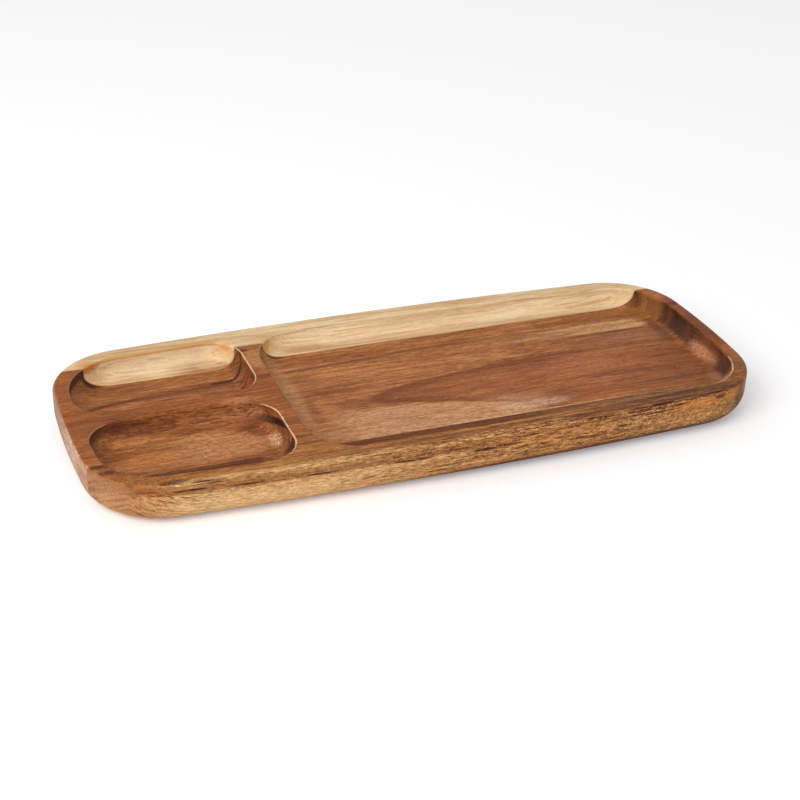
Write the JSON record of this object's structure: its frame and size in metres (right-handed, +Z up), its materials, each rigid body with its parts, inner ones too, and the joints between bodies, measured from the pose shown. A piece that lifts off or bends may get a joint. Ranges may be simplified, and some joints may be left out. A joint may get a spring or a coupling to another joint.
{
  "type": "compartment serving tray",
  "caption": "Oblong solid wood serving tray with rounded corners, coved compartments routed into its top, and staves glued edge to edge.",
  "frame": {"origin": "middle of the flat underside, on the surface that the tray rests on", "axes": "+X along the tray, from the end with the two small compartments to the end with the large one; +Y towards the rear edge, the blonde one; +Z up"},
  "size_m": [0.38, 0.159, 0.024],
  "materials": {
    "sapwood": "oiled, satin, straight grain",
    "heartwood": "oiled, satin, growth rings in arches on the floor of the large compartment",
    "streaked_wood": "oiled, satin, dark streaks and flecks"
  },
  "bodies": {
    "root": {"rear_stave": "sapwood", "centre_stave": "heartwood", "front_stave": "streaked_wood"}
  },
  "joints": []
}
